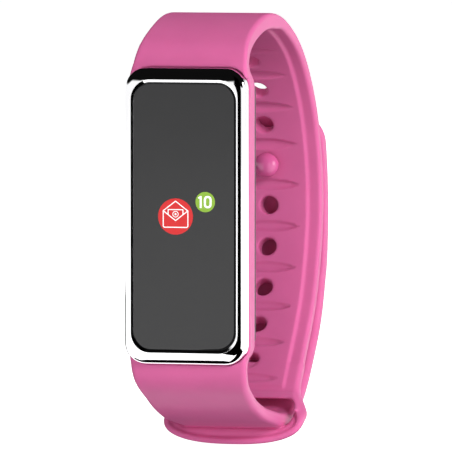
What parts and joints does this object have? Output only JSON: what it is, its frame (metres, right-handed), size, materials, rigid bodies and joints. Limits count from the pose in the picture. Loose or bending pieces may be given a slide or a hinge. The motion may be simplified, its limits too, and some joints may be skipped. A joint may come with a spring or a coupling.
{
  "type": "fitness tracker band",
  "caption": "Slim wrist tracker with a tall flat display in a chromed rim, held in a soft silicone band that closes through a slotted ring with a peg and a row of holes.",
  "frame": {"origin": "centre of the wrist opening of the closed band", "axes": "+X across the band, +Y from the display towards the clasp side, +Z along the length of the display"},
  "size_m": [0.0218, 0.0509, 0.0652],
  "materials": {
    "silicone": "soft satin moulded silicone",
    "peg_plastic": "glossy moulded plastic",
    "chrome": "mirror chrome plating",
    "display_glass": "dark bonded cover glass, smooth",
    "black_plastic": "fine spark-eroded texture",
    "grey_plastic": "moulded, matte",
    "display_film": "laminated film",
    "tape": "black foam tape",
    "flex": "amber polyimide film",
    "board": "green solder mask",
    "chip": "moulded epoxy",
    "white_plastic": "moulded connector plastic",
    "steel": "bright nickel plated",
    "gold": "gold plated, polished",
    "pouch": "soft aluminium pouch foil",
    "red_wire": "wire sleeve",
    "black_wire": "wire sleeve"
  },
  "bodies": {
    "band": {"silicone_band": "silicone"},
    "tail": {"strap_tail": "silicone", "clasp_peg": "peg_plastic"},
    "module": {"bezel_frame": "chrome", "display_glass": "display_glass", "touch_film": "display_film", "display_panel": "display_film", "glass_adhesive": "tape", "battery_tape": "tape", "case_gasket": "tape", "display_flex": "flex", "midframe": "grey_plastic", "motion_sensor": "grey_plastic", "rear_case": "black_plastic", "main_board": "board", "bluetooth_processor": "chip", "flash_memory": "chip", "power_chip": "chip", "display_connector": "white_plastic", "chip_antenna": "white_plastic", "battery_connector": "white_plastic", "clock_crystal": "steel", "board_screw_1": "steel", "board_screw_2": "steel", "board_screw_3": "steel", "board_screw_4": "steel", "motor_cup": "steel", "motor_base": "steel", "charging_contact_left": "gold", "charging_contact_right": "gold", "contact_spring_left": "gold", "contact_spring_right": "gold", "battery": "pouch", "battery_lead_red": "red_wire", "battery_lead_black": "black_wire"},
    "vibration_weight": {"motor_weight": "steel"}
  },
  "joints": [
    {"name": "tail_peel", "type": "hinge", "parent": "band", "child": "tail", "pos_m": [0, 0.02262, -0.0085], "axis": [-1, 0, 0], "range_deg": [0, 60], "stiffness_Nm_per_rad": 0.0012, "deforming": ["clasp_peg"]},
    {"name": "module_release", "type": "slide", "parent": "band", "child": "module", "axis": [0, -1, 0], "range_m": [0, 0.02]},
    {"name": "motor_spin", "type": "hinge", "parent": "module", "child": "vibration_weight", "pos_m": [0, -0.0223, -0.0114], "axis": [0, 1, 0], "continuous": true}
  ]
}
